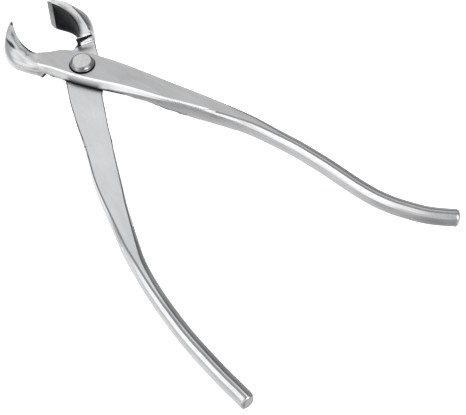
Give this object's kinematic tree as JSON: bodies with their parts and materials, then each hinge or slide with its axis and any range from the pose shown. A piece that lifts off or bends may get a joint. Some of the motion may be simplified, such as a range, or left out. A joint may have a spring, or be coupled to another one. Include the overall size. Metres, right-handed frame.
{
  "type": "concave branch cutter",
  "caption": "Hand cutter for small branches: two forged steel levers crossing in a lap joint on a rivet, with hollow concave jaws and long slim handles.",
  "frame": {"origin": "on the rivet's axis, at the flat end of the rivet's headed tail, behind the rear lever", "axes": "+X from the jaws to the handles, midway between the levers as they lie; +Z along the rivet towards its button head"},
  "size_m": [0.2003, 0.1175, 0.0158],
  "materials": {
    "satin_steel": "satin belt-ground stainless steel, grain along the lever",
    "bright_satin_steel": "finer satin stainless steel, lighter than the front lever",
    "polished_rivet": "bright stainless steel, faced flat on top with a polished round rim",
    "turned_burr": "turned stainless steel washer"
  },
  "bodies": {
    "rear_half": {"rear_lever": "bright_satin_steel", "pivot_rivet": "polished_rivet", "rivet_burr": "turned_burr"},
    "front_half": {"front_lever": "satin_steel"}
  },
  "joints": [
    {"name": "jaw_pivot", "type": "hinge", "parent": "rear_half", "child": "front_half", "pos_m": [0, 0, 0.0065], "axis": [0, 0, 1], "range_deg": [-27.2, 72]}
  ]
}
